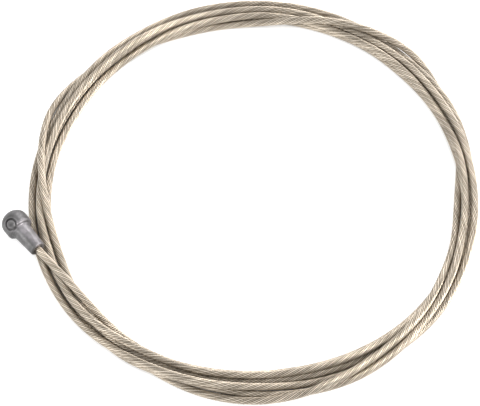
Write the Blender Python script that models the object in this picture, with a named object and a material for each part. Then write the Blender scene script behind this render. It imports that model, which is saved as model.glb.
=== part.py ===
"""Bicycle brake inner cable, coiled flat as it is sold.

A stranded steel wire of one length carries a die-cast head on its first end.
The other end is cut square. The wire lies on the floor in five and three
quarter turns that cross over and under each other, and the head rests beside
the coil with its stem over the outer turn.

Metres, +Z up. The origin is on the floor, under the middle of the whole part.
"""

import math

import bmesh
import bpy
import numpy as np
from mathutils import Matrix, Vector

# Wire
WIRE_DIAMETER = 0.0016
CABLE_LENGTH = 1.700
ANCHOR_DEPTH = 0.0078

# Coil
COIL_RADIUS = 0.0470
TURN_CLEARANCE = 0.00012
STATIONS_PER_TURN = 72

# Where the eye stood for which the lanes below were chosen
VIEW_ELEVATION = 61.0
VIEW_DISTANCE = 0.437
VIEW_HEIGHT = 0.00175

# How the turns settle: shares of a full correction in each step
SETTLING_STEPS = 700
CLEARING_STEPS = 120
PUSHES_PER_STEP = 4
SPRINGINESS = 0.06
LEVELLING = 0.30
LANE_HOLD = 0.05
SINKING = 0.01
EASING = (1, 4, 6, 4, 1)

# Head, from the apex of its dome to the end of its stem
HEAD_DIAMETER = 0.0060
DOME_DEPTH = 0.0026
HEAD_BARREL = 0.0022
HEAD_EDGE = 0.00025
STEM_LENGTH = 0.0062
STEM_ROOT_DIAMETER = 0.0042
STEM_END_DIAMETER = 0.0035
STEM_FILLET = 0.00030
STEM_EDGE = 0.00020
CAST_GAP = 0.0003

# Round ejector mark sunk in the side of the head
MARK_DIAMETER = 0.0024
MARK_BOSS_DIAMETER = 0.0014
MARK_DEPTH = 0.00020
MARK_SETBACK = 0.0033
MARK_ROLL = -8.0

# Where the wire leaves the head, about the coil's centre, and how the head points
HEAD_ANGLE = 198.75
EXIT_OUTSIDE = 0.00205
EXIT_HEIGHT = 0.0040
DOME_HEIGHT = 0.0038
HEAD_TURN_IN = 20.2

ROUND_STEPS = 40
TUBE_RESOLUTION = 2

# The lay of each turn: (angle in degrees, lane in wire diameters outside the
# coil's circle, layer). Angles and lanes are those that the eye sees, and layers
# only say what lies over what.
LOWEST_LAYER = 1.6
LAY = (
    ((201, .35, 3.2), (205, -.5, 3), (211, -1.03, 3), (218, -1.25, 2.4), (226, -1.3, 1.2),
     (240, -1.3, .5), (255, -1.65, 0), (285, -1.85, 0), (300, -1.5, 0), (315, -.8, 0), (330, -.5, 0),
     (360, -.5, .6), (395, -.6, 1), (410, -.9, .5), (425, -1.25, .2), (440, -1.25, .1), (455, -.9, 0),
     (480, -.5, 0), (510, -.45, 0), (535, -.3, 0)),
    ((555, 0, 0), (590, .3, 0), (610, .55, 0), (622, .8, 0), (635, 1.15, 0), (645, 1.4, .6),
     (652, 1.5, 1), (660, 1.3, 1.8), (667, 1, 2), (680, .3, 2), (690, -.2, 2), (705, -.42, 2),
     (740, -.53, 2), (780, -.63, 1.6), (815, -.85, 1.5), (855, -1.05, 1.5), (875, -1.1, 1.5),
     (890, -.98, 1.3), (905, -.75, 1.2)),
    ((920, -.6, 1), (932, -.25, .5), (945, .15, 0), (956, .5, 0), (967, .85, .4), (978, 1.5, 1),
     (990, 1.83, 2), (1001, 1.5, 3), (1010, 1, 3), (1020, .3, 3), (1030, -.2, 2.6), (1043, -.4, 1.5),
     (1060, -.75, 1), (1078, -1.17, .4), (1088, -1, -.4), (1096, -.55, -1), (1115, .55, -1),
     (1122, .95, 0), (1130, 1.2, 1.5), (1136, 1.18, 2.8), (1142, .95, 3), (1150, .37, 3),
     (1164, -.9, 3), (1172, -1.5, 2.2), (1183, -1.87, 1), (1193, -1.6, 0), (1200, -1.15, -1),
     (1213, 0, -1), (1219, .6, -.5), (1226, 1.08, 1), (1233, 1.34, 2), (1239, 1.17, 2.8),
     (1246, .65, 3), (1259, -.45, 3), (1266, -1, 2.6), (1273, -1.33, 1.6)),
    ((1280, -1.4, 1), (1286, -1.28, 0), (1293, -.8, -1), (1300, -.2, -.6), (1308, .2, .4),
     (1315, -.05, 1), (1323, -.45, 1), (1332, -.78, 1), (1350, -1, 1), (1368, -.8, 1), (1380, -.45, .8),
     (1392, 0, .3), (1410, .4, .6), (1465, .5, 1), (1482, .75, 1), (1495, 1, 1), (1510, 1.17, 1),
     (1535, 1.18, 1), (1550, 1.1, 1), (1565, .82, 1), (1585, .6, 1), (1600, .65, .5), (1610, .9, -.4),
     (1622, 1, -.8)),
    ((1640, 1.1, -.6), (1652, 1.1, .6), (1662, .83, 2), (1672, .6, 1.6), (1683, .3, 1.2),
     (1693, .05, 1), (1721, .1, 1), (1728, .4, 1), (1740, .75, .5), (1752, 1.02, .5), (1762, 1.02, 1),
     (1775, .78, 2), (1800, .58, 2.5), (1830, .42, 2.5), (1852, .3, 2), (1865, .1, 1.6),
     (1900, .18, 1.5), (1920, .22, 1.5), (1935, .08, 1.5), (1955, -.05, 1.5), (1975, 0, 1.2),
     (1990, .22, 1.2)),
    ((2000, .14, 1.3), (2010, -.04, 1.5), (2020, -.36, 1.6), (2030, -.75, 1.6), (2040, -1.18, 1.5),
     (2050, -1.53, 1.3), (2060, -1.82, 1), (2075, -1.96, 1), (2090, -1.82, 1), (2100, -1.5, 1),
     (2110, -1, .7), (2122, -.5, .8), (2145, -.15, 1.2), (2190, 0, 1.3), (2220, -.2, 1.2),
     (2245, -.3, 1)),
)

HEAD_LENGTH = DOME_DEPTH + HEAD_BARREL + STEM_LENGTH


def head_axis():
    """Unit vector along the head, from its dome towards its stem.

    The stiff wire carries the head beside the coil, clear of the floor, with its
    stem over the outer turn.
    """
    reach = HEAD_LENGTH - DOME_DEPTH
    rise = (EXIT_HEIGHT - DOME_HEIGHT) / reach
    level = math.sqrt(1 - rise * rise)
    heading = math.radians(HEAD_ANGLE + 90 + HEAD_TURN_IN)
    return np.array([level * math.cos(heading), level * math.sin(heading), rise])


def exit_point():
    """Centre of the stem's end face, about the coil's centre."""
    angle = math.radians(HEAD_ANGLE)
    out = COIL_RADIUS + EXIT_OUTSIDE
    return np.array([out * math.cos(angle), out * math.sin(angle), EXIT_HEIGHT])


def through_points(chosen, column, angles):
    """Smooth cubic through one column of the chosen points."""
    x = chosen[:, 0]
    y = chosen[:, column]
    slope = np.gradient(y, x)
    left = np.clip(np.searchsorted(x, angles, side="right") - 1, 0, len(x) - 2)
    span = x[left + 1] - x[left]
    t = np.clip((angles - x[left]) / span, 0, 1)
    ends = (2 * t**3 - 3 * t**2 + 1) * y[left] + (3 * t**2 - 2 * t**3) * y[left + 1]
    bends = (t**3 - 2 * t**2 + t) * slope[left] + (t**3 - t**2) * slope[left + 1]
    return ends + bends * span


def seen_lanes(angles):
    """The chosen lanes at the stations' angles.

    Returns how far outside the coil's circle each point would lie at VIEW_HEIGHT,
    its layer, and how far outwards the eye sees it move for each metre that it
    is lifted.
    """
    chosen = np.array([point for turn in LAY for point in turn], float)
    elevation = math.radians(VIEW_ELEVATION)
    nearness = COIL_RADIUS * math.cos(elevation) / VIEW_DISTANCE
    turned = np.radians(angles)
    seen_angles = angles + np.degrees(nearness * np.cos(turned))
    lane = through_points(chosen, 1, seen_angles) * WIRE_DIAMETER
    layer = through_points(chosen, 2, seen_angles)
    lean = np.sin(turned) / math.tan(elevation) + COIL_RADIUS / (VIEW_DISTANCE * math.sin(elevation))
    return lane * (1 + nearness * np.sin(turned)) ** 2, layer, lean


def head_stations(step):
    """Radius, height and half thickness of the head at the stations before the exit."""
    axis = head_axis()
    start = exit_point()
    count = int(HEAD_LENGTH / (COIL_RADIUS * math.radians(step)))
    rows = []
    for index in range(count, 0, -1):
        angle = math.radians(HEAD_ANGLE - index * step)
        across = np.array([-math.sin(angle), math.cos(angle)])
        back = np.dot(start[:2], across) / np.dot(axis[:2], across)
        point = start - axis * back
        thick = STEM_ROOT_DIAMETER if back < STEM_LENGTH else HEAD_DIAMETER
        rows.append((math.hypot(point[0], point[1]) - COIL_RADIUS, point[2], thick / 2))
    return rows


def levelling(values):
    """What brings each station to the middle of its two neighbours."""
    wide = np.pad(values, 1, mode="reflect", reflect_type="odd")
    return (wide[:-2] + wide[2:]) / 2 - values


def springing(values):
    """What a springy wire adds to even out its bends, from the fourth difference."""
    wide = np.pad(values, 2, mode="reflect", reflect_type="odd")
    return 4 * (wide[1:-3] + wide[3:-1]) - wide[:-4] - wide[4:] - 6 * values


def eased(push):
    """The same push spread over the neighbouring stations."""
    spread = np.array(EASING, float)
    return np.convolve(np.pad(push, len(EASING) // 2, mode="edge"), spread / spread.sum(), mode="valid")


def pushes(offset, height, half, free):
    """How far every point is pushed, out and up, by the turns that it overlaps."""
    push_out = np.zeros(len(offset))
    push_up = np.zeros(len(offset))
    for apart in range(STATIONS_PER_TURN, len(offset), STATIONS_PER_TURN):
        out = offset[apart:] - offset[:-apart]
        up = height[apart:] - height[:-apart]
        near = np.hypot(out, up)
        need = half[apart:] + half[:-apart]
        share = np.maximum(free[apart:] + free[:-apart], 1)
        push = np.clip(need / np.maximum(near, WIRE_DIAMETER / 100) - 1, 0, None) / share
        push_out[apart:] += free[apart:] * push * out
        push_up[apart:] += free[apart:] * push * up
        push_out[:-apart] -= free[:-apart] * push * out
        push_up[:-apart] -= free[:-apart] * push * up
    return push_out, push_up


def settle_turns():
    """Lay the turns on the floor and on each other.

    Each station holds one point of every turn. The points start in the chosen
    lanes and layers and sink, while the wire's springiness evens out its bends
    and turns that overlap push each other apart to one diameter and a small
    clearance. So a crossing becomes a long low hump.

    Returns the stations' angles in degrees, offsets from the coil's circle and
    heights, from the wire's exit to its free end.
    """
    step = 360 / STATIONS_PER_TURN
    sweep = math.degrees((CABLE_LENGTH - HEAD_LENGTH) / COIL_RADIUS)
    head = head_stations(step)
    angles = HEAD_ANGLE + step * np.arange(-len(head), int(sweep / step) + 1)
    gap = WIRE_DIAMETER + TURN_CLEARANCE
    seen, layer, lean = seen_lanes(angles)
    height = (layer + LOWEST_LAYER) * gap
    offset = seen - (height - VIEW_HEIGHT) * lean
    half = np.full(len(angles), gap / 2)
    free = np.ones(len(angles))
    fixed = head + [(EXIT_OUTSIDE, EXIT_HEIGHT, STEM_END_DIAMETER / 2)]
    for index, (out, up, thick) in enumerate(fixed):
        offset[index], height[index] = out, up
        half[index] = thick + CAST_GAP / 2
        free[index] = 0

    for step_index in range(SETTLING_STEPS + CLEARING_STEPS):
        if step_index < SETTLING_STEPS:
            loose = 1 - step_index / SETTLING_STEPS
            height += free * (LEVELLING * loose * levelling(height) - SINKING * gap)
            height += free * SPRINGINESS * springing(height)
            target = seen - (height - VIEW_HEIGHT) * lean
            offset += free * (SPRINGINESS * springing(offset) + LANE_HOLD * (target - offset))
        for _ in range(PUSHES_PER_STEP):
            push_out, push_up = pushes(offset, height, half, free)
            offset += free * eased(push_out)
            height += free * eased(push_up)
            height += free * eased(np.maximum(WIRE_DIAMETER / 2 - height, 0))
    height = np.maximum(height, WIRE_DIAMETER / 2)
    first = len(head)
    return angles[first:], offset[first:], height[first:]


def wire_route():
    """Points of the whole wire, from its end inside the head to its cut end."""
    angles, offset, height = settle_turns()
    angles = np.radians(angles)
    out = COIL_RADIUS + offset
    laid = np.stack([out * np.cos(angles), out * np.sin(angles), height], axis=1)
    inside = exit_point() - np.outer((ANCHOR_DEPTH, ANCHOR_DEPTH / 2), head_axis())
    return np.concatenate([inside, laid])


def footprint_centre(route):
    """Middle of the part as seen from above, from the wire and the head's dome."""
    dome = exit_point() - head_axis() * (HEAD_LENGTH - DOME_DEPTH)
    low = np.minimum(route.min(axis=0) - WIRE_DIAMETER / 2, dome - HEAD_DIAMETER / 2)
    high = np.maximum(route.max(axis=0) + WIRE_DIAMETER / 2, dome + HEAD_DIAMETER / 2)
    middle = (low + high) / 2
    return np.array([middle[0], middle[1], 0.0])


def principled(name, colour, metallic, roughness):
    """A plain Principled material."""
    material = bpy.data.materials.new(name)
    material.use_nodes = True
    shader = material.node_tree.nodes["Principled BSDF"]
    shader.inputs["Base Color"].default_value = (*colour, 1)
    shader.inputs["Metallic"].default_value = metallic
    shader.inputs["Roughness"].default_value = roughness
    return material


def arc(centre, radius_z, radius_r, start, end, steps):
    """Points (z, r) on an elliptical arc between two angles in degrees."""
    points = []
    for index in range(steps + 1):
        angle = math.radians(start + (end - start) * index / steps)
        points.append((centre[0] - radius_z * math.cos(angle), centre[1] + radius_r * math.sin(angle)))
    return points


def head_profile():
    """Half section of the head: (z, r) from the apex, over the outside, to the bottom of the bore."""
    head_r = HEAD_DIAMETER / 2
    root_r = STEM_ROOT_DIAMETER / 2
    end_r = STEM_END_DIAMETER / 2
    bore_r = WIRE_DIAMETER / 2 + CAST_GAP
    shoulder = DOME_DEPTH + HEAD_BARREL
    bore_bottom = HEAD_LENGTH - ANCHOR_DEPTH - CAST_GAP
    profile = arc((DOME_DEPTH, 0), DOME_DEPTH, head_r, 0, 90, 9)
    profile += arc((shoulder - HEAD_EDGE, head_r - HEAD_EDGE), HEAD_EDGE, HEAD_EDGE, 90, 180, 3)
    profile += arc((shoulder + STEM_FILLET, root_r + STEM_FILLET), STEM_FILLET, STEM_FILLET, 0, -90, 4)
    profile += arc((HEAD_LENGTH - STEM_EDGE, end_r - STEM_EDGE), STEM_EDGE, STEM_EDGE, 90, 180, 3)
    profile += [(HEAD_LENGTH, bore_r), (bore_bottom, bore_r), (bore_bottom, 0)]
    return profile


def turned(profile, name):
    """Turn a (z, r) profile about Z into a closed mesh."""
    shape = bmesh.new()
    verts = [shape.verts.new((r, 0, z)) for z, r in profile]
    edges = [shape.edges.new(pair) for pair in zip(verts, verts[1:])]
    bmesh.ops.spin(shape, geom=verts + edges, axis=(0, 0, 1), cent=(0, 0, 0), angle=math.tau,
                   steps=ROUND_STEPS, use_merge=True)
    bmesh.ops.remove_doubles(shape, verts=shape.verts, dist=1e-7)
    bmesh.ops.recalc_face_normals(shape, faces=shape.faces)
    mesh = bpy.data.meshes.new(name)
    shape.to_mesh(mesh)
    shape.free()
    mesh.shade_smooth()
    mesh.set_sharp_from_angle(angle=math.radians(35))
    return mesh


def head_frame():
    """Rotation of the head: local Z runs along it and local X faces its round mark."""
    along = Vector(head_axis())
    elevation = math.radians(VIEW_ELEVATION)
    to_view = Vector((0, -math.cos(elevation), math.sin(elevation)))
    facing = (to_view - along * to_view.dot(along)).normalized()
    facing.rotate(Matrix.Rotation(math.radians(-MARK_ROLL), 3, along))
    side = along.cross(facing)
    return Matrix((facing, side, along)).transposed()


def mark_cutter(head):
    """Ring that sinks the ejector mark into the head, with a boss left in its middle."""
    inner = MARK_BOSS_DIAMETER / 2
    outer = MARK_DIAMETER / 2
    top = HEAD_DIAMETER / 2 + HEAD_EDGE
    rim_drop = HEAD_DIAMETER / 2 - math.sqrt((HEAD_DIAMETER / 2) ** 2 - outer**2)
    bottom = HEAD_DIAMETER / 2 - rim_drop - MARK_DEPTH
    profile = [(bottom, inner), (bottom, outer), (top, outer), (top, inner), (bottom, inner)]
    cutter = bpy.data.objects.new("mark_cutter", turned(profile, "mark_cutter"))
    bpy.context.collection.objects.link(cutter)
    cutter.parent = head
    cutter.location = (0, 0, MARK_SETBACK)
    cutter.rotation_euler = (0, math.radians(90), 0)
    cutter.hide_render = True
    cutter.display_type = "WIRE"
    return cutter


def build_head(frame):
    """The die-cast head with its bore, stem and round mark."""
    head = bpy.data.objects.new("cast_head", turned(head_profile(), "cast_head"))
    bpy.context.collection.objects.link(head)
    head.parent = frame
    head.location = exit_point() - head_axis() * HEAD_LENGTH
    head.rotation_euler = head_frame().to_euler()
    head.data.materials.append(principled("cast_zinc", (0.30, 0.30, 0.29), 1.0, 0.45))
    cut = head.modifiers.new("round_mark", "BOOLEAN")
    cut.operation = "DIFFERENCE"
    cut.object = mark_cutter(head)
    return head


def build_wire(frame, route):
    """The stranded wire as a round tube along its whole route."""
    curve = bpy.data.curves.new("stranded_wire", "CURVE")
    curve.dimensions = "3D"
    curve.bevel_depth = WIRE_DIAMETER / 2
    curve.bevel_resolution = TUBE_RESOLUTION
    curve.use_fill_caps = True
    spline = curve.splines.new("POLY")
    spline.points.add(len(route) - 1)
    for point, place in zip(spline.points, route):
        point.co = (*place, 1)
    wire = bpy.data.objects.new("stranded_wire", curve)
    bpy.context.collection.objects.link(wire)
    wire.parent = frame
    curve.materials.append(principled("stainless_wire", (0.55, 0.50, 0.43), 1.0, 0.35))
    return wire


def main():
    for item in list(bpy.data.objects):
        bpy.data.objects.remove(item, do_unlink=True)
    route = wire_route()
    frame = bpy.data.objects.new("coil_centre", None)
    bpy.context.collection.objects.link(frame)
    frame.location = -footprint_centre(route)
    build_head(frame)
    build_wire(frame, route)


main()
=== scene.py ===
"""Looks of a bicycle brake inner cable, coiled flat as it is sold.

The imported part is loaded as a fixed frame. The wire's tube is replaced by a strand
of nineteen wires along the same route, and the turned head by a die-cast one with a
grain, a parting line and a round ejector mark. Metres, +Z up.
"""

import logging
import math
from dataclasses import dataclass, field
from enum import Enum

import bmesh
import bpy
import numpy as np
from mathutils import Matrix, Vector

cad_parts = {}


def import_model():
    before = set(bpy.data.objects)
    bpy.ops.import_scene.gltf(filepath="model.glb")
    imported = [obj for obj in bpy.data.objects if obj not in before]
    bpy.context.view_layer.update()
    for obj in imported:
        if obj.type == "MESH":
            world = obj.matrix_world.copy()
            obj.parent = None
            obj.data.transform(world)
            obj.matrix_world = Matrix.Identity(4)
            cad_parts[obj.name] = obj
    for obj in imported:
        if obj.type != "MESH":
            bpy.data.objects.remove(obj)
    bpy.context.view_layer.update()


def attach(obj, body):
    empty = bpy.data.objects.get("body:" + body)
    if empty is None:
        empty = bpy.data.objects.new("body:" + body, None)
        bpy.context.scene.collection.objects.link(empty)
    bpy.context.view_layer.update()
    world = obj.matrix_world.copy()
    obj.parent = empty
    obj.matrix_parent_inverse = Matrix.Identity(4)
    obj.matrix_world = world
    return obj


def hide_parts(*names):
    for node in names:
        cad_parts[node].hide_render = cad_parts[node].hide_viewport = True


LOG = logging.getLogger("brake_cable")


class LayHand(Enum):
    """Which way the outer wires wind round the strand."""

    LEFT = -1
    RIGHT = 1


@dataclass
class CoilLay:
    """Route of the wire: five and three quarter turns that lie over each other.

    The settling is the one of the part's source, with the same values, so that the
    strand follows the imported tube. Each point of a turn is its angle in degrees, its
    lane in wire diameters outside the coil's circle and its layer, as the eye sees them.
    """

    wire_diameter: float = 0.0016
    cable_length: float = 1.700
    anchor_depth: float = 0.0078
    coil_radius: float = 0.0470
    turn_clearance: float = 0.00012
    stations_per_turn: int = 72
    view_elevation: float = 61.0
    view_distance: float = 0.437
    view_height: float = 0.00175
    settling_steps: int = 700
    clearing_steps: int = 120
    pushes_per_step: int = 4
    springiness: float = 0.06
    levelling_share: float = 0.30
    lane_hold: float = 0.05
    sinking: float = 0.01
    easing: tuple[int, ...] = (1, 4, 6, 4, 1)
    head_diameter: float = 0.0060
    dome_depth: float = 0.0026
    head_barrel: float = 0.0022
    stem_length: float = 0.0062
    stem_root_diameter: float = 0.0042
    stem_end_diameter: float = 0.0035
    cast_gap: float = 0.0003
    head_angle: float = 198.75
    exit_outside: float = 0.00205
    exit_height: float = 0.0040
    dome_height: float = 0.0038
    head_turn_in: float = 20.2
    lowest_layer: float = 1.6
    turns: tuple[tuple[tuple[float, float, float], ...], ...] = (
        ((201, .35, 3.2), (205, -.5, 3), (211, -1.03, 3), (218, -1.25, 2.4), (226, -1.3, 1.2),
         (240, -1.3, .5), (255, -1.65, 0), (285, -1.85, 0), (300, -1.5, 0), (315, -.8, 0), (330, -.5, 0),
         (360, -.5, .6), (395, -.6, 1), (410, -.9, .5), (425, -1.25, .2), (440, -1.25, .1), (455, -.9, 0),
         (480, -.5, 0), (510, -.45, 0), (535, -.3, 0)),
        ((555, 0, 0), (590, .3, 0), (610, .55, 0), (622, .8, 0), (635, 1.15, 0), (645, 1.4, .6),
         (652, 1.5, 1), (660, 1.3, 1.8), (667, 1, 2), (680, .3, 2), (690, -.2, 2), (705, -.42, 2),
         (740, -.53, 2), (780, -.63, 1.6), (815, -.85, 1.5), (855, -1.05, 1.5), (875, -1.1, 1.5),
         (890, -.98, 1.3), (905, -.75, 1.2)),
        ((920, -.6, 1), (932, -.25, .5), (945, .15, 0), (956, .5, 0), (967, .85, .4), (978, 1.5, 1),
         (990, 1.83, 2), (1001, 1.5, 3), (1010, 1, 3), (1020, .3, 3), (1030, -.2, 2.6), (1043, -.4, 1.5),
         (1060, -.75, 1), (1078, -1.17, .4), (1088, -1, -.4), (1096, -.55, -1), (1115, .55, -1),
         (1122, .95, 0), (1130, 1.2, 1.5), (1136, 1.18, 2.8), (1142, .95, 3), (1150, .37, 3),
         (1164, -.9, 3), (1172, -1.5, 2.2), (1183, -1.87, 1), (1193, -1.6, 0), (1200, -1.15, -1),
         (1213, 0, -1), (1219, .6, -.5), (1226, 1.08, 1), (1233, 1.34, 2), (1239, 1.17, 2.8),
         (1246, .65, 3), (1259, -.45, 3), (1266, -1, 2.6), (1273, -1.33, 1.6)),
        ((1280, -1.4, 1), (1286, -1.28, 0), (1293, -.8, -1), (1300, -.2, -.6), (1308, .2, .4),
         (1315, -.05, 1), (1323, -.45, 1), (1332, -.78, 1), (1350, -1, 1), (1368, -.8, 1), (1380, -.45, .8),
         (1392, 0, .3), (1410, .4, .6), (1465, .5, 1), (1482, .75, 1), (1495, 1, 1), (1510, 1.17, 1),
         (1535, 1.18, 1), (1550, 1.1, 1), (1565, .82, 1), (1585, .6, 1), (1600, .65, .5), (1610, .9, -.4),
         (1622, 1, -.8)),
        ((1640, 1.1, -.6), (1652, 1.1, .6), (1662, .83, 2), (1672, .6, 1.6), (1683, .3, 1.2),
         (1693, .05, 1), (1721, .1, 1), (1728, .4, 1), (1740, .75, .5), (1752, 1.02, .5), (1762, 1.02, 1),
         (1775, .78, 2), (1800, .58, 2.5), (1830, .42, 2.5), (1852, .3, 2), (1865, .1, 1.6),
         (1900, .18, 1.5), (1920, .22, 1.5), (1935, .08, 1.5), (1955, -.05, 1.5), (1975, 0, 1.2),
         (1990, .22, 1.2)),
        ((2000, .14, 1.3), (2010, -.04, 1.5), (2020, -.36, 1.6), (2030, -.75, 1.6), (2040, -1.18, 1.5),
         (2050, -1.53, 1.3), (2060, -1.82, 1), (2075, -1.96, 1), (2090, -1.82, 1), (2100, -1.5, 1),
         (2110, -1, .7), (2122, -.5, .8), (2145, -.15, 1.2), (2190, 0, 1.3), (2220, -.2, 1.2),
         (2245, -.3, 1)),
    )

    @property
    def head_length(self) -> float:
        """Length of the head, from its apex to the end of its stem."""
        return self.dome_depth + self.head_barrel + self.stem_length

    def head_axis(self) -> np.ndarray:
        """Unit vector along the head, from its dome towards its stem."""
        reach = self.head_length - self.dome_depth
        rise = (self.exit_height - self.dome_height) / reach
        level = math.sqrt(1 - rise * rise)
        heading = math.radians(self.head_angle + 90 + self.head_turn_in)
        return np.array([level * math.cos(heading), level * math.sin(heading), rise])

    def exit_point(self) -> np.ndarray:
        """Centre of the stem's end face, about the coil's centre."""
        angle = math.radians(self.head_angle)
        out = self.coil_radius + self.exit_outside
        return np.array([out * math.cos(angle), out * math.sin(angle), self.exit_height])

    @staticmethod
    def through_points(chosen: np.ndarray, column: int, angles: np.ndarray) -> np.ndarray:
        """Smooth cubic through one column of the chosen points.

        Args:
            chosen: Rows of angle, lane and layer.
            column: The column that is read.
            angles: Where the curve is wanted, in degrees.

        Returns:
            The curve's value at each angle.
        """
        x = chosen[:, 0]
        y = chosen[:, column]
        slope = np.gradient(y, x)
        left = np.clip(np.searchsorted(x, angles, side="right") - 1, 0, len(x) - 2)
        span = x[left + 1] - x[left]
        t = np.clip((angles - x[left]) / span, 0, 1)
        ends = (2 * t**3 - 3 * t**2 + 1) * y[left] + (3 * t**2 - 2 * t**3) * y[left + 1]
        bends = (t**3 - 2 * t**2 + t) * slope[left] + (t**3 - t**2) * slope[left + 1]
        return ends + bends * span

    def seen_lanes(self, angles: np.ndarray) -> tuple[np.ndarray, np.ndarray, np.ndarray]:
        """The chosen lanes at the stations' angles.

        Args:
            angles: The stations' angles, in degrees.

        Returns:
            How far outside the coil's circle each point would lie, its layer, and how
            far outwards the eye sees it move for each metre that it is lifted.
        """
        chosen = np.array([point for turn in self.turns for point in turn], float)
        elevation = math.radians(self.view_elevation)
        nearness = self.coil_radius * math.cos(elevation) / self.view_distance
        turned = np.radians(angles)
        seen_angles = angles + np.degrees(nearness * np.cos(turned))
        lane = self.through_points(chosen, 1, seen_angles) * self.wire_diameter
        layer = self.through_points(chosen, 2, seen_angles)
        lean = np.sin(turned) / math.tan(elevation)
        lean = lean + self.coil_radius / (self.view_distance * math.sin(elevation))
        return lane * (1 + nearness * np.sin(turned)) ** 2, layer, lean

    def head_stations(self, step: float) -> list[tuple[float, float, float]]:
        """Radius, height and half thickness of the head at the stations before the exit."""
        axis = self.head_axis()
        start = self.exit_point()
        count = int(self.head_length / (self.coil_radius * math.radians(step)))
        rows = []
        for index in range(count, 0, -1):
            angle = math.radians(self.head_angle - index * step)
            across = np.array([-math.sin(angle), math.cos(angle)])
            back = np.dot(start[:2], across) / np.dot(axis[:2], across)
            point = start - axis * back
            thick = self.stem_root_diameter if back < self.stem_length else self.head_diameter
            rows.append((math.hypot(point[0], point[1]) - self.coil_radius, point[2], thick / 2))
        return rows

    @staticmethod
    def levelling(values: np.ndarray) -> np.ndarray:
        """What brings each station to the middle of its two neighbours."""
        wide = np.pad(values, 1, mode="reflect", reflect_type="odd")
        return (wide[:-2] + wide[2:]) / 2 - values

    @staticmethod
    def springing(values: np.ndarray) -> np.ndarray:
        """What a springy wire adds to even out its bends."""
        wide = np.pad(values, 2, mode="reflect", reflect_type="odd")
        return 4 * (wide[1:-3] + wide[3:-1]) - wide[:-4] - wide[4:] - 6 * values

    def eased(self, push: np.ndarray) -> np.ndarray:
        """The same push spread over the neighbouring stations."""
        spread = np.array(self.easing, float)
        wide = np.pad(push, len(self.easing) // 2, mode="edge")
        return np.convolve(wide, spread / spread.sum(), mode="valid")

    def pushes(self, offset: np.ndarray, height: np.ndarray, half: np.ndarray,
               free: np.ndarray) -> tuple[np.ndarray, np.ndarray]:
        """How far every point is pushed by the turns that it overlaps.

        Args:
            offset: Distances outside the coil's circle.
            height: Heights over the floor.
            half: Half thickness at each station.
            free: One where the wire may move, and zero where the head holds it.

        Returns:
            The pushes outwards and upwards.
        """
        turn = self.stations_per_turn
        push_out = np.zeros(len(offset))
        push_up = np.zeros(len(offset))
        for apart in range(turn, len(offset), turn):
            out = offset[apart:] - offset[:-apart]
            up = height[apart:] - height[:-apart]
            near = np.hypot(out, up)
            need = half[apart:] + half[:-apart]
            share = np.maximum(free[apart:] + free[:-apart], 1)
            push = np.clip(need / np.maximum(near, self.wire_diameter / 100) - 1, 0, None) / share
            push_out[apart:] += free[apart:] * push * out
            push_up[apart:] += free[apart:] * push * up
            push_out[:-apart] -= free[:-apart] * push * out
            push_up[:-apart] -= free[:-apart] * push * up
        return push_out, push_up

    def settle_turns(self) -> tuple[np.ndarray, np.ndarray, np.ndarray]:
        """Lay the turns on the floor and on each other.

        Returns:
            The stations' angles in degrees, offsets from the coil's circle and heights.
        """
        step = 360 / self.stations_per_turn
        sweep = math.degrees((self.cable_length - self.head_length) / self.coil_radius)
        head = self.head_stations(step)
        angles = self.head_angle + step * np.arange(-len(head), int(sweep / step) + 1)
        gap = self.wire_diameter + self.turn_clearance
        seen, layer, lean = self.seen_lanes(angles)
        height = (layer + self.lowest_layer) * gap
        offset = seen - (height - self.view_height) * lean
        half = np.full(len(angles), gap / 2)
        free = np.ones(len(angles))
        fixed = head + [(self.exit_outside, self.exit_height, self.stem_end_diameter / 2)]
        for index, (out, up, thick) in enumerate(fixed):
            offset[index], height[index] = out, up
            half[index] = thick + self.cast_gap / 2
            free[index] = 0
        for step_index in range(self.settling_steps + self.clearing_steps):
            if step_index < self.settling_steps:
                loose = 1 - step_index / self.settling_steps
                sunk = self.levelling_share * loose * self.levelling(height) - self.sinking * gap
                height += free * sunk
                height += free * self.springiness * self.springing(height)
                target = seen - (height - self.view_height) * lean
                held = self.lane_hold * (target - offset)
                offset += free * (self.springiness * self.springing(offset) + held)
            for _ in range(self.pushes_per_step):
                push_out, push_up = self.pushes(offset, height, half, free)
                offset += free * self.eased(push_out)
                height += free * self.eased(push_up)
                height += free * self.eased(np.maximum(self.wire_diameter / 2 - height, 0))
        height = np.maximum(height, self.wire_diameter / 2)
        first = len(head)
        return angles[first:], offset[first:], height[first:]

    def route(self) -> np.ndarray:
        """Points of the whole wire about the coil's centre, from inside the head to the cut end."""
        angles, offset, height = self.settle_turns()
        angles = np.radians(angles)
        out = self.coil_radius + offset
        laid = np.stack([out * np.cos(angles), out * np.sin(angles), height], axis=1)
        inside = self.exit_point() - np.outer((self.anchor_depth, self.anchor_depth / 2), self.head_axis())
        return np.concatenate([inside, laid])

    def footprint_centre(self, route: np.ndarray) -> np.ndarray:
        """Middle of the part as seen from above, from the wire and the head's dome."""
        dome = self.exit_point() - self.head_axis() * (self.head_length - self.dome_depth)
        low = np.minimum(route.min(axis=0) - self.wire_diameter / 2, dome - self.head_diameter / 2)
        high = np.maximum(route.max(axis=0) + self.wire_diameter / 2, dome + self.head_diameter / 2)
        middle = (low + high) / 2
        return np.array([middle[0], middle[1], 0.0])

    @staticmethod
    def spline_bends(distance: np.ndarray, values: np.ndarray) -> np.ndarray:
        """Second derivatives of the natural cubic spline through the values."""
        count = len(distance)
        span = np.diff(distance)
        table = np.eye(count)
        right = np.zeros(values.shape)
        for index in range(1, count - 1):
            before, after = span[index - 1], span[index]
            table[index, index - 1:index + 2] = before, 2 * (before + after), after
            rise = (values[index + 1] - values[index]) / after
            right[index] = 6 * (rise - (values[index] - values[index - 1]) / before)
        return np.linalg.solve(table, right)

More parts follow.
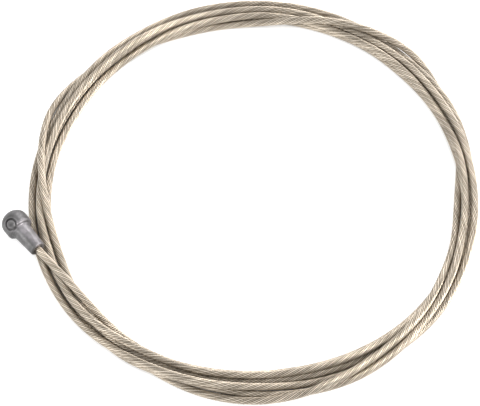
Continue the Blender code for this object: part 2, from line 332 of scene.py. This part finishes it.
    def centreline(self, route: np.ndarray, step: float) -> np.ndarray:
        """Evenly spaced points of a smooth curve through the route.

        Args:
            route: The part's own points.
            step: The spacing along the wire, in metres.

        Returns:
            The smooth curve's points.
        """
        distance = np.concatenate([[0], np.cumsum(np.linalg.norm(np.diff(route, axis=0), axis=1))])
        bends = self.spline_bends(distance, route)
        wanted = np.linspace(0, distance[-1], int(distance[-1] / step) + 1)
        left = np.clip(np.searchsorted(distance, wanted, side="right") - 1, 0, len(distance) - 2)
        span = (distance[left + 1] - distance[left])[:, None]
        b = (wanted - distance[left])[:, None] / span
        a = 1 - b
        curve = a * route[left] + b * route[left + 1]
        curve = curve + ((a**3 - a) * bends[left] + (b**3 - b) * bends[left + 1]) * span**2 / 6
        curve[:, 2] = np.maximum(curve[:, 2], self.wire_diameter / 2)
        return curve


@dataclass
class NodeBench:
    """Small helper that adds linked nodes to one material."""

    name: str
    material: bpy.types.Material = field(init=False)

    def __post_init__(self) -> None:
        """Make the empty material with its Principled shader."""
        self.material = bpy.data.materials.new(self.name)
        self.material.use_nodes = True

    @property
    def shader(self) -> bpy.types.Node:
        """The material's Principled shader."""
        return self.material.node_tree.nodes["Principled BSDF"]

    def add(self, kind: str, **values: object) -> bpy.types.Node:
        """Add a node.

        Args:
            kind: The node's type.
            **values: Settings of the node, or values of its inputs where no setting has that name.

        Returns:
            The new node.
        """
        node = self.material.node_tree.nodes.new(kind)
        for key, value in values.items():
            label = key.replace("_", " ").title()
            if hasattr(node, key):
                setattr(node, key, value)
            else:
                node.inputs[label].default_value = value
        return node

    def link(self, start: bpy.types.NodeSocket, end: bpy.types.NodeSocket) -> None:
        """Join two sockets."""
        self.material.node_tree.links.new(start, end)

    def drive(self, label: str, source: bpy.types.NodeSocket) -> None:
        """Let a value or a colour drive one input of the shader."""
        self.link(source, self.shader.inputs[label])

    def attribute(self, name: str) -> bpy.types.NodeSocket:
        """The value that the mesh's vertices hold under this name."""
        return self.add("ShaderNodeAttribute", attribute_name=name).outputs["Fac"]

    def noise(self, scale: float, detail: float, coarseness: float) -> bpy.types.NodeSocket:
        """Noise that stands still on the object.

        Args:
            scale: How many of its waves lie in a metre.
            detail: How many finer layers it has.
            coarseness: How strong the finer layers are.

        Returns:
            The noise's value.
        """
        noise = self.add("ShaderNodeTexNoise", scale=scale, detail=detail, roughness=coarseness)
        place = self.add("ShaderNodeTexCoord")
        self.link(place.outputs["Object"], noise.inputs["Vector"])
        return noise.outputs["Fac"]

    def ramp(self, source: bpy.types.NodeSocket, stops: list[tuple[float, tuple]]) -> bpy.types.NodeSocket:
        """Colour ramp over a value.

        Args:
            source: The value's socket.
            stops: Places and linear colours.

        Returns:
            The ramp's colour.
        """
        node = self.add("ShaderNodeValToRGB")
        steps = node.color_ramp.elements
        while len(steps) < len(stops):
            steps.new(0.5)
        for step, (place, colour) in zip(steps, stops):
            step.position = place
            step.color = (*colour, 1)
        self.link(source, node.inputs["Fac"])
        return node.outputs["Color"]

    def multiplied(self, first: bpy.types.NodeSocket, *others: bpy.types.NodeSocket) -> bpy.types.NodeSocket:
        """The product of two or more colours."""
        product = first
        for other in others:
            mix = self.add("ShaderNodeMix", data_type="RGBA", blend_type="MULTIPLY")
            mix.inputs["Factor"].default_value = 1.0
            self.link(product, mix.inputs["A"])
            self.link(other, mix.inputs["B"])
            product = mix.outputs["Result"]
        return product


@dataclass(frozen=True)
class SkinGrain:
    """Fine grain of a metal skin, which varies its roughness and raises it a little."""

    scale: float
    detail: float
    coarseness: float
    smoothest: float
    roughest: float
    bump_strength: float
    bump_height: float
    noise_low: float = 0.3
    noise_high: float = 0.7

    def spread_over(self, bench: NodeBench) -> None:
        """Drive a material's roughness and normal with the grain."""
        grain = bench.noise(self.scale, self.detail, self.coarseness)
        spread = bench.add("ShaderNodeMapRange", from_min=self.noise_low, from_max=self.noise_high,
                           to_min=self.smoothest, to_max=self.roughest)
        bench.link(grain, spread.inputs["Value"])
        bench.drive("Roughness", spread.outputs["Result"])
        bump = bench.add("ShaderNodeBump", strength=self.bump_strength, distance=self.bump_height)
        bench.link(grain, bump.inputs["Height"])
        bench.drive("Normal", bump.outputs["Normal"])


@dataclass(frozen=True)
class DrawnWireFinish:
    """Drawn stainless wire: satin, warm, with a painted highlight on each wire's crest and painted shade on
    its flanks and in the grooves between the wires.
    """

    # Crest colour: painted highlight along each wire's top. Flank and groove colours: painted shade on its
    # sides and between the wires.
    crest: tuple = (0.790, 0.720, 0.620)
    flank: tuple = (0.177, 0.126, 0.079)
    groove: tuple = (0.034, 0.020, 0.009)
    flank_depth: float = 0.45
    grimy: tuple = (0.80, 0.80, 0.80)
    wiped: tuple = (1.08, 1.07, 1.05)
    grime_scale: float = 90.0
    grime_from: float = 0.35
    grime_to: float = 0.68
    darkest_wire: tuple = (0.66, 0.65, 0.63)
    brightest_wire: tuple = (1.23, 1.23, 1.23)
    scratches: SkinGrain = SkinGrain(scale=2600.0, detail=2.0, coarseness=0.7, smoothest=0.24,
                                     roughest=0.38, bump_strength=0.10, bump_height=0.00002)

    def make(self) -> bpy.types.Material:
        """Build the material."""
        bench = NodeBench("drawn_stainless_wire")
        bench.shader.inputs["Metallic"].default_value = 1.0
        # Painted highlight and shade across each wire, by its depth between the wires.
        depths = [(0.0, self.crest), (self.flank_depth, self.flank), (1.0, self.groove)]
        colour = bench.ramp(bench.attribute("groove"), depths)
        grime = bench.noise(self.grime_scale, detail=3.0, coarseness=0.6)
        worn = bench.ramp(grime, [(self.grime_from, self.grimy), (self.grime_to, self.wiped)])
        tones = [(0.0, self.darkest_wire), (1.0, self.brightest_wire)]
        shade = bench.ramp(bench.attribute("wire_tone"), tones)
        bench.drive("Base Color", bench.multiplied(colour, worn, shade))
        self.scratches.spread_over(bench)
        return bench.material


@dataclass(frozen=True)
class DieCastFinish:
    """As-cast zinc alloy: matt grey with a faint grain and duller patches, with painted shade in the mark's
    groove and dimple and a painted highlight on one side of the stem and on the mark's rims.
    """

    dull: tuple = (0.086, 0.086, 0.084)
    plain: tuple = (0.146, 0.144, 0.146)
    bright: tuple = (0.262, 0.255, 0.264)
    patch_scale: float = 420.0
    patch_places: tuple = (0.30, 0.52, 0.74)
    painted_shade_gain: tuple = (0.45, 0.44, 0.43)
    painted_highlight_gain: tuple = (1.50, 1.45, 1.49)
    metallic: float = 0.55
    grain: SkinGrain = SkinGrain(scale=2400.0, detail=3.0, coarseness=0.6, smoothest=0.34,
                                 roughest=0.50, bump_strength=0.35, bump_height=0.00006)

    def make(self) -> bpy.types.Material:
        """Build the material."""
        bench = NodeBench("as_cast_zinc")
        bench.shader.inputs["Metallic"].default_value = self.metallic
        patches = bench.noise(self.patch_scale, detail=4.0, coarseness=0.65)
        colour = bench.ramp(patches, list(zip(self.patch_places, (self.dull, self.plain, self.bright))))
        # Painted shade below the plain middle of the tone, painted highlight above it.
        gains = [(0.0, self.painted_shade_gain), (0.5, (1.0, 1.0, 1.0)), (1.0, self.painted_highlight_gain)]
        gain = bench.ramp(bench.attribute("painted_light_tone"), gains)
        bench.drive("Base Color", bench.multiplied(colour, gain))
        self.grain.spread_over(bench)
        return bench.material


def seen_directly(tree: bpy.types.NodeTree) -> bpy.types.NodeSocket:
    """One for rays from the eye, or mirrored or let through on their way to it, and else zero.

    Args:
        tree: The nodes of a material or a world, to which the new ones are added.

    Returns:
        The value's socket.
    """
    seen = tree.nodes.new("ShaderNodeLightPath")
    found = seen.outputs["Is Camera Ray"]
    for kind in ("Is Glossy Ray", "Is Transmission Ray"):
        either = tree.nodes.new("ShaderNodeMath")
        either.operation = "MAXIMUM"
        tree.links.new(found, either.inputs[0])
        tree.links.new(seen.outputs[kind], either.inputs[1])
        found = either.outputs[0]
    return found


@dataclass(frozen=True)
class PaleFloorFinish:
    """White floor that is white to the eye and in reflections and keeps a soft shadow.

    A glow lifts it to white. The glow fades in the narrow slits between the wires.
    """

    colour: tuple = (0.70, 0.70, 0.70)
    roughness: float = 0.9
    lift: float = 0.71
    slit_reach: float = 0.004
    slit_dark: float = 0.12
    slit_clear: float = 0.50

    def make(self) -> bpy.types.Material:
        """Build the material."""
        bench = NodeBench("pale_floor")
        bench.shader.inputs["Base Color"].default_value = (*self.colour, 1)
        bench.shader.inputs["Roughness"].default_value = self.roughness
        bench.shader.inputs["Specular IOR Level"].default_value = 0.0
        bench.shader.inputs["Emission Color"].default_value = (1, 1, 1, 1)
        openness = bench.add("ShaderNodeAmbientOcclusion", samples=16, distance=self.slit_reach)
        glow = bench.add("ShaderNodeMapRange", interpolation_type="SMOOTHSTEP", from_min=self.slit_dark,
                         from_max=self.slit_clear, to_max=self.lift)
        bench.link(openness.outputs["AO"], glow.inputs["Value"])
        strength = bench.add("ShaderNodeMath", operation="MULTIPLY")
        bench.link(seen_directly(bench.material.node_tree), strength.inputs[0])
        bench.link(glow.outputs["Result"], strength.inputs[1])
        bench.drive("Emission Strength", strength.outputs[0])
        return bench.material


def as_mesh(shape: bmesh.types.BMesh, name: str) -> bpy.types.Mesh:
    """Turn a shape that is no longer needed into a mesh."""
    mesh = bpy.data.meshes.new(name)
    shape.to_mesh(mesh)
    shape.free()
    return mesh


def put_down(mesh: bpy.types.Mesh, material: bpy.types.Material) -> bpy.types.Object:
    """Put a mesh into the scene, in one material.

    Args:
        mesh: The mesh, which gives the object its name.
        material: What it is made of.

    Returns:
        The new object.
    """
    mesh.materials.clear()
    mesh.materials.append(material)
    piece = bpy.data.objects.new(mesh.name, mesh)
    bpy.context.scene.collection.objects.link(piece)
    return piece


@dataclass
class CableStrand:
    """Strand of nineteen wires, of which the outer twelve show along it and all show at its cut."""

    coil: CoilLay
    centre: np.ndarray
    material: bpy.types.Material
    inner_wires: int = 6
    outer_wires: int = 12
    inner_pitch: float = 0.00032
    outer_pitch: float = 0.00064
    wire_radius: float = 0.00016
    lay_length: float = 0.0113
    lay_hand: LayHand = LayHand.LEFT
    step: float = 0.00083
    profile_turns: tuple[float, ...] = (-15.0, -8.0, 0.0, 8.0)
    tone_stride: int = 7
    stub_length: float = 0.0012
    stub_unevenness: float = 0.10
    stub_uneven_step: float = 2.4
    stub_overlap: float = 0.0002
    stub_slack: float = 0.98
    stub_edge: float = 0.00003
    stub_sides: int = 14
    stub_tone: float = 0.5
    sharp_angle: float = 40.0
    points: np.ndarray = field(init=False)

    def __post_init__(self) -> None:
        """Work out the smooth centreline in the part's frame."""
        self.points = self.coil.centreline(self.coil.route(), self.step) - self.centre

    def reach(self, turn: float) -> float:
        """Distance from the strand's middle to its skin, this many degrees off a wire's crest."""
        angle = math.radians(turn)
        inside = self.wire_radius**2 - (self.outer_pitch * math.sin(angle)) ** 2
        return self.outer_pitch * math.cos(angle) + math.sqrt(max(inside, 0.0))

    def section(self) -> bpy.types.Object:
        """Closed section of the strand: the outer wires' skins, side by side."""
        curve = bpy.data.curves.new("strand_section", "CURVE")
        curve.dimensions = "2D"
        spline = curve.splines.new("POLY")
        skins = [(wire, turn) for wire in range(self.outer_wires) for turn in self.profile_turns]
        spline.points.add(len(skins) - 1)
        for point, (wire, turn) in zip(spline.points, skins):
            angle = math.radians(360 * wire / self.outer_wires + turn)
            out = self.reach(turn)
            point.co = (out * math.cos(angle), out * math.sin(angle), 0, 1)
        spline.use_cyclic_u = True
        return bpy.data.objects.new("strand_section", curve)

    def swept(self) -> bpy.types.Mesh:
        """The strand as a mesh: its section swept and turned along the centreline."""
        section = self.section()
        bpy.context.scene.collection.objects.link(section)
        curve = bpy.data.curves.new("strand_route", "CURVE")
        curve.dimensions = "3D"
        curve.twist_mode = "MINIMUM"
        curve.bevel_mode = "OBJECT"
        curve.bevel_object = section
        curve.use_fill_caps = True
        line = self.points[:-1]
        spline = curve.splines.new("POLY")
        spline.points.add(len(line) - 1)
        travelled = 0.0
        for index, place in enumerate(line):
            if index:
                travelled += float(np.linalg.norm(place - line[index - 1]))
            spline.points[index].co = (*place, 1)
            turned = self.lay_hand.value * travelled / self.lay_length
            spline.points[index].tilt = math.tau * math.fmod(turned, 1)
        swept = bpy.data.objects.new("strand_route", curve)
        bpy.context.scene.collection.objects.link(swept)
        bpy.context.view_layer.update()
        graph = bpy.context.evaluated_depsgraph_get()
        mesh = bpy.data.meshes.new_from_object(swept.evaluated_get(graph), depsgraph=graph)
        bpy.data.objects.remove(swept)
        bpy.data.objects.remove(section)
        return mesh

    def mark_wires(self, mesh: bpy.types.Mesh) -> None:
        """Give each vertex its depth between the wires and its wire's tone.

        Args:
            mesh: The swept strand.
        """
        size = len(self.profile_turns)
        ring = self.outer_wires * size
        drops = [self.reach(0.0) - self.reach(turn) for turn in self.profile_turns]
        depths = [drop / max(drops) for drop in drops]
        tones = [(self.tone_stride * wire % self.outer_wires) / (self.outer_wires - 1)
                 for wire in range(self.outer_wires)]
        # The groove depth carries the painted highlight on the crests and the painted shade in the grooves.
        groove = mesh.attributes.new("groove", "FLOAT", "POINT")
        tone = mesh.attributes.new("wire_tone", "FLOAT", "POINT")
        for index in range(len(mesh.vertices)):
            place = index % ring
            groove.data[index].value = depths[place % size]
            tone.data[index].value = tones[place // size]

    def build(self) -> bpy.types.Object:
        """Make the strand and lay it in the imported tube's place.

        Returns:
            The strand's object.
        """
        mesh = self.swept()
        mesh.name = "cable_strand"
        self.mark_wires(mesh)
        mesh.shade_smooth()
        strand = put_down(mesh, self.material)
        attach(strand, "root")
        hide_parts("stranded_wire")
        return strand

    def stub_places(self) -> list[tuple[float, float]]:
        """Distance and angle of each of the nineteen wires about the strand's middle."""
        places = [(0.0, 0.0)]
        for pitch, count in ((self.inner_pitch, self.inner_wires), (self.outer_pitch, self.outer_wires)):
            places += [(pitch, math.tau * wire / count) for wire in range(count)]
        return places

    def cut_wire(self, length: float) -> bmesh.types.BMesh:
        """One cut wire of this length, upright on the origin, with its far edge eased."""
        wire = bmesh.new()
        radius = self.wire_radius * self.stub_slack
        bmesh.ops.create_cone(wire, cap_ends=True, segments=self.stub_sides, radius1=radius, radius2=radius,
                              depth=length)
        bmesh.ops.translate(wire, vec=(0, 0, length / 2), verts=wire.verts)
        rim = [edge for edge in wire.edges if all(vert.co.z > length / 2 for vert in edge.verts)]
        bmesh.ops.bevel(wire, geom=rim, offset=self.stub_edge, segments=2, profile=0.5, material=-1,
                        affect="EDGES")
        return wire

    def build_cut_end(self) -> bpy.types.Object:
        """Make the nineteen cut wires that stand out of the strand's far end.

        Returns:
            The cut end's object.
        """
        along = Vector(self.points[-1] - self.points[-3]).normalized()
        out = along.cross(Vector((0, 0, 1))).normalized()
        up = out.cross(along)
        turn = Matrix((out, up, along)).transposed().to_4x4()
        start = Vector(self.points[-2]) - along * self.stub_overlap
        shape = bmesh.new()
        for index, (distance, angle) in enumerate(self.stub_places()):
            longer = self.stub_unevenness * math.sin(self.stub_uneven_step * index)
            wire = self.cut_wire(self.stub_length * (1 + longer))
            place = start + out * (distance * math.cos(angle)) + up * (distance * math.sin(angle))
            bmesh.ops.transform(wire, matrix=Matrix.Translation(place) @ turn, verts=wire.verts)
            piece = as_mesh(wire, "cut_wire")
            shape.from_mesh(piece)
            bpy.data.meshes.remove(piece)
        mesh = as_mesh(shape, "cable_cut_end")
        # With no depth, the cut wires take the crest's painted highlight colour all over.
        mesh.attributes.new("groove", "FLOAT", "POINT")
        tone = mesh.attributes.new("wire_tone", "FLOAT", "POINT")
        for item in tone.data:
            item.value = self.stub_tone
        mesh.shade_smooth()
        mesh.set_sharp_from_angle(angle=math.radians(self.sharp_angle))
        end = put_down(mesh, self.material)
        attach(end, "root")
        return end

    def declare(self) -> None:
        leaves = self.coil.exit_point() - self.centre


def reached(past: float, width: float) -> float:
    """Share of a width that has been passed, between zero and one."""
    return min(max(past / width, 0), 1)


def smoothed(share: float) -> float:
    """A share with a smooth start and end."""
    return share * share * (3 - 2 * share)


def hill(away: float, width: float) -> float:
    """A smooth bump: one in its middle, and fading to nothing with the distance."""
    return math.exp(-((away / width) ** 2))


@dataclass(frozen=True)
class RoundMark:
    """Ejector mark in the head's side: a round groove between two low rims, with a dimpled boss.

    Distances are from the mark's middle. The depths are measured in the head's own frame,
    where the mark lies on the +X side.
    """

    setback: float = 0.0036
    roll: float = -13.0
    radius: float = 0.00138
    boss_radius: float = 0.00088
    groove_floor: float = 0.00255
    wall_width: float = 0.00016
    rim_inset: float = 0.00010
    rim_width: float = 0.00011
    rim_height: float = 0.00008
    dimple_width: float = 0.00045
    dimple_depth: float = 0.00016
    # Painted shade in the groove and the dimple, and painted highlights on the two rims.
    groove_shade: float = 0.40
    groove_shade_width: float = 0.00018
    dimple_shade: float = 0.35
    dimple_shade_width: float = 0.00035
    outer_rim_highlight: float = 0.35
    boss_rim_highlight: float = 0.45

    def outer_rim(self, away: float) -> float:
        """How much of the rim round the mark stands at this distance."""
        return hill(away - self.radius - self.rim_inset, self.rim_width)

    def boss_rim(self, away: float) -> float:
        """How much of the boss's rim stands at this distance."""
        return hill(away - self.boss_radius + self.rim_inset, self.rim_width)

    def pressed(self, away: float, height: float) -> float:
        """Height of the head's side once the mark is in it.

        Args:
            away: Distance from the mark's middle.
            height: Height of the plain side there.

        Returns:
            The new height.
        """
        rise = reached(away - self.boss_radius, self.wall_width)
        fall = reached(self.radius - away, self.wall_width)
        height += smoothed(rise) * smoothed(fall) * (min(height, self.groove_floor) - height)
        height += self.rim_height * (self.outer_rim(away) + self.boss_rim(away))
        return height - self.dimple_depth * hill(away, self.dimple_width)

    def tone(self, away: float) -> float:
        """How much painted highlight, above zero, or painted shade, below it, the casting has at this
        distance.
        """
        mark_shade = self.groove_shade * hill(away - (self.boss_radius + self.radius) / 2, self.groove_shade_width)
        mark_shade += self.dimple_shade * hill(away, self.dimple_shade_width)
        mark_highlight = self.boss_rim_highlight * self.boss_rim(away) + self.outer_rim_highlight * self.outer_rim(away)
        return mark_highlight - mark_shade


@dataclass
class CastHead:
    """Die-cast head: a dome and barrel on a tapered stem, cast onto the strand."""

    coil: CoilLay
    centre: np.ndarray
    material: bpy.types.Material
    mark: RoundMark = RoundMark()
    shoulder_edge: float = 0.00052
    stem_fillet: float = 0.00034
    stem_edge: float = 0.00022
    bore_radius: float = 0.00078
    bore_depth: float = 0.0012
    bore_pinch: float = 0.00008
    mouth_flare: float = 0.00018
    mouth_lip: float = 0.00003
    mouth_depth: float = 0.00010
    round_steps: int = 180
    seam_start: float = 0.0012
    seam_width: float = 0.00010
    seam_height: float = 0.00003
    plain_tone: float = 0.5
    # Where the painted highlight lies: one side of the stem, from a little before the shoulder on, away from
    # the bore.
    highlight_lead: float = 0.0008
    highlight_lead_fade: float = 0.0005
    highlight_bore_gap: float = 0.0001
    highlight_bore_fade: float = 0.0003
    highlight_side: float = 0.0002
    highlight_side_fade: float = 0.0007
    sharp_angle: float = 60.0

    @property
    def shoulder(self) -> float:
        """Distance from the apex to the flat ring behind the barrel."""
        return self.coil.dome_depth + self.coil.head_barrel

    @staticmethod
    def arc(middle: tuple[float, float], deep: float, wide: float, start: float, end: float,
            steps: int) -> list[tuple[float, float]]:
        """Points of an elliptical arc in the half section.

        Args:
            middle: Its centre, along and off the axis.
            deep: Its radius along the axis.
            wide: Its radius off the axis.
            start: First angle, in degrees.
            end: Last angle, in degrees.
            steps: Number of spans.

        Returns:
            The points, along and off the axis.
        """
        points = []
        for index in range(steps + 1):
            angle = math.radians(start + (end - start) * index / steps)
            points.append((middle[0] - deep * math.cos(angle), middle[1] + wide * math.sin(angle)))
        return points

    @staticmethod
    def straight(first: tuple[float, float], last: tuple[float, float],
                 steps: int) -> list[tuple[float, float]]:
        """Points between two points of the half section, without its ends."""
        along = last[0] - first[0]
        out = last[1] - first[1]
        return [(first[0] + along * index / steps, first[1] + out * index / steps)
                for index in range(1, steps)]

    def half_section(self) -> list[tuple[float, float]]:
        """Half section from the apex, over the outside, into the mouth round the strand."""
        radius = self.coil.head_diameter / 2
        root = self.coil.stem_root_diameter / 2
        end = self.coil.stem_end_diameter / 2
        length = self.coil.head_length
        bottom = length - self.bore_depth
        dome = self.arc((self.coil.dome_depth, 0), self.coil.dome_depth, radius, 0, 90, steps=42)
        corner = self.shoulder_edge
        edge = self.arc((self.shoulder - corner, radius - corner), corner, corner, 90, 180, steps=6)
        corner = self.stem_fillet
        fillet = self.arc((self.shoulder + corner, root + corner), corner, corner, 0, -90, steps=6)
        corner = self.stem_edge
        tip = self.arc((length - corner, end - corner), corner, corner, 90, 180, steps=5)
        mouth = [(length, self.bore_radius + self.mouth_flare),
                 (length - self.mouth_depth, self.bore_radius + self.mouth_lip),
                 (bottom, self.bore_radius - self.bore_pinch), (bottom, 0.0)]
        barrel = self.straight(dome[-1], edge[0], steps=24)
        ring = self.straight(edge[-1], fillet[0], steps=4)
        stem = self.straight(fillet[-1], tip[0], steps=30)
        face = self.straight(tip[-1], mouth[0], steps=5)
        return dome + barrel + edge + ring + fillet + stem + tip + face + mouth

    def press_mark(self, shape: bmesh.types.BMesh) -> None:
        """Sink the round ejector mark into the side of the head."""
        for vert in shape.verts:
            if vert.co.x > 0:
                away = math.hypot(vert.co.y, vert.co.z - self.mark.setback)
                vert.co.x = self.mark.pressed(away, vert.co.x)

    def raise_parting_line(self, shape: bmesh.types.BMesh) -> None:
        """Leave the thin seam of the two mould halves along both sides of the head."""
        for vert in shape.verts:
            off = math.hypot(vert.co.x, vert.co.y)
            if off < self.seam_start or vert.co.z > self.coil.head_length - self.mouth_depth:
                continue
            seam = self.seam_height * hill(vert.co.x, self.seam_width)
            vert.co.y += math.copysign(seam, vert.co.y)

    def note_painted_light(self, shape: bmesh.types.BMesh) -> None:
        """Mark where a highlight and where shade are painted on the casting.

        Half is plain. One half of the stem, with a painted highlight, and the mark's two
        rims, with painted highlights, lie above that, and the mark's groove and dimple,
        with painted shade, below.
        """
        layer = shape.verts.layers.float.new("painted_light_tone")
        for vert in shape.verts:
            off = math.hypot(vert.co.x, vert.co.y)
            # Painted highlight on one side of the stem, from the shoulder on and away from the bore.
            past = reached(vert.co.z - self.shoulder + self.highlight_lead, self.highlight_lead_fade)
            outside = reached(off - self.bore_radius - self.highlight_bore_gap, self.highlight_bore_fade)
            side = smoothed(reached(-self.highlight_side - vert.co.y, self.highlight_side_fade))
            tone = self.plain_tone + (1 - self.plain_tone) * past * outside * side
            # Painted highlight on the mark's rims and painted shade in its groove and dimple.
            if vert.co.x > 0:
                tone += self.mark.tone(math.hypot(vert.co.y, vert.co.z - self.mark.setback))
            vert[layer] = min(max(tone, 0), 1)

    def placing(self) -> Matrix:
        """Matrix that puts the head at the strand's start, its mark towards the eye."""
        along = Vector(self.coil.head_axis())
        elevation = math.radians(self.coil.view_elevation)
        to_view = Vector((0, -math.cos(elevation), math.sin(elevation)))
        facing = (to_view - along * to_view.dot(along)).normalized()
        facing.rotate(Matrix.Rotation(math.radians(-self.mark.roll), 3, along))
        side = along.cross(facing)
        turned = Matrix((facing, side, along)).transposed().to_4x4()
        apex = self.coil.exit_point() - self.coil.head_axis() * self.coil.head_length - self.centre
        return Matrix.Translation(Vector(apex)) @ turned

    def build(self) -> bpy.types.Object:
        """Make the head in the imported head's place.

        Returns:
            The head's object.
        """
        shape = bmesh.new()
        verts = [shape.verts.new((off, 0, along)) for along, off in self.half_section()]
        edges = [shape.edges.new(pair) for pair in zip(verts, verts[1:])]
        bmesh.ops.spin(shape, geom=verts + edges, axis=(0, 0, 1), cent=(0, 0, 0), angle=math.tau,
                       steps=self.round_steps, use_merge=True)
        bmesh.ops.remove_doubles(shape, verts=shape.verts, dist=1e-7)
        self.press_mark(shape)
        self.raise_parting_line(shape)
        self.note_painted_light(shape)
        bmesh.ops.transform(shape, matrix=self.placing(), verts=shape.verts)
        bmesh.ops.recalc_face_normals(shape, faces=shape.faces)
        mesh = as_mesh(shape, "die_cast_head")
        mesh.shade_smooth()
        mesh.set_sharp_from_angle(angle=math.radians(self.sharp_angle))
        head = put_down(mesh, self.material)
        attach(head, "root")
        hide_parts("cast_head")
        return head


@dataclass(frozen=True)
class SoftLamp:
    """Square area lamp that faces the coil, in metres, watts and a linear colour."""

    name: str
    place: tuple[float, float, float]
    side: float
    power: float
    colour: tuple[float, float, float]

    def hang(self) -> None:
        """Put the lamp into the scene."""
        data = bpy.data.lights.new(self.name, "AREA")
        data.shape = "SQUARE"
        data.size = self.side
        data.energy = self.power
        data.color = self.colour
        lamp = bpy.data.objects.new(self.name, data)
        lamp.location = self.place
        lamp.rotation_euler = (-Vector(self.place)).to_track_quat("-Z", "Y").to_euler()
        bpy.context.scene.collection.objects.link(lamp)


@dataclass
class Studio:
    """Camera at the photograph's angle, pale floor, soft lamps and a white surrounding."""

    coil: CoilLay
    centre: np.ndarray
    camera_elevation: float = 61.035
    photo_width: int = 480
    pixels_per_metre: float = 4561.9
    middle_right: float = 14.6
    middle_up: float = 13.1
    sensor_width: float = 36.0
    nearest: float = 0.01
    floor_size: float = 6.0
    world_strength: float = 0.55
    lamps: tuple[SoftLamp, ...] = (
        SoftLamp("right_lamp", (0.50, 0.38, 0.36), 0.50, 2.5, (1.0, 0.98, 0.98)),
        SoftLamp("side_lamp", (0.62, -0.26, 0.30), 0.34, 4.2, (1.0, 0.985, 0.955)),
        SoftLamp("back_lamp", (0.20, 0.63, 0.46), 0.24, 1.1, (1.0, 0.98, 0.97)),
        SoftLamp("left_lamp", (-0.60, -0.24, 0.34), 0.40, 1.3, (1.0, 0.99, 0.97)),
    )

    def add_camera(self) -> None:
        """Place the camera that sees the coil as the photograph does."""
        data = bpy.data.cameras.new("photo_camera")
        distance = self.coil.view_distance
        data.sensor_width = self.sensor_width
        data.lens = data.sensor_width * distance * self.pixels_per_metre / self.photo_width
        data.shift_x = -self.middle_right / self.photo_width
        data.shift_y = -self.middle_up / self.photo_width
        data.clip_start = self.nearest
        camera = bpy.data.objects.new("photo_camera", data)
        elevation = math.radians(self.camera_elevation)
        aim = Vector((-self.centre[0], -self.centre[1], self.coil.view_height))
        camera.location = aim + distance * Vector((0, -math.cos(elevation), math.sin(elevation)))
        camera.rotation_euler = (math.pi / 2 - elevation, 0, 0)
        bpy.context.scene.collection.objects.link(camera)
        bpy.context.scene.camera = camera

    def add_floor(self) -> None:
        """Lay the pale floor under the cable."""
        shape = bmesh.new()
        bmesh.ops.create_grid(shape, x_segments=1, y_segments=1, size=self.floor_size / 2)
        floor = put_down(as_mesh(shape, "pale_floor"), PaleFloorFinish().make())

    def set_world(self) -> None:
        """Surround the scene with white: full to the eye and in reflections, plainer as light."""
        world = bpy.data.worlds.new("white_room")
        world.use_nodes = True
        tree = world.node_tree
        ground = tree.nodes["Background"]
        ground.inputs["Color"].default_value = (1, 1, 1, 1)
        level = tree.nodes.new("ShaderNodeMapRange")
        level.inputs["To Min"].default_value = self.world_strength
        level.inputs["To Max"].default_value = 1.0
        tree.links.new(seen_directly(tree), level.inputs["Value"])
        tree.links.new(level.outputs["Result"], ground.inputs["Strength"])
        bpy.context.scene.world = world

    def build(self) -> None:
        """Set up the camera, the floor, the lamps and the world."""
        bpy.context.scene.view_settings.view_transform = "Standard"
        self.add_camera()
        self.add_floor()
        for lamp in self.lamps:
            lamp.hang()
        self.set_world()


def main() -> None:
    """Build the cable's pieces in order and log their face counts."""
    logging.basicConfig(level=logging.INFO, format="%(name)s: %(message)s")
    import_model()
    coil = CoilLay()
    centre = coil.footprint_centre(coil.route())
    Studio(coil, centre).build()
    strand_maker = CableStrand(coil, centre, DrawnWireFinish().make())
    strand = strand_maker.build()
    cut_end = strand_maker.build_cut_end()
    strand_maker.declare()
    LOG.info("strand: %d faces along %d points", len(strand.data.polygons), len(strand_maker.points))
    head = CastHead(coil, centre, DieCastFinish().make()).build()
    LOG.info("head: %d faces", len(head.data.polygons))


if __name__ == "__main__":
    main()
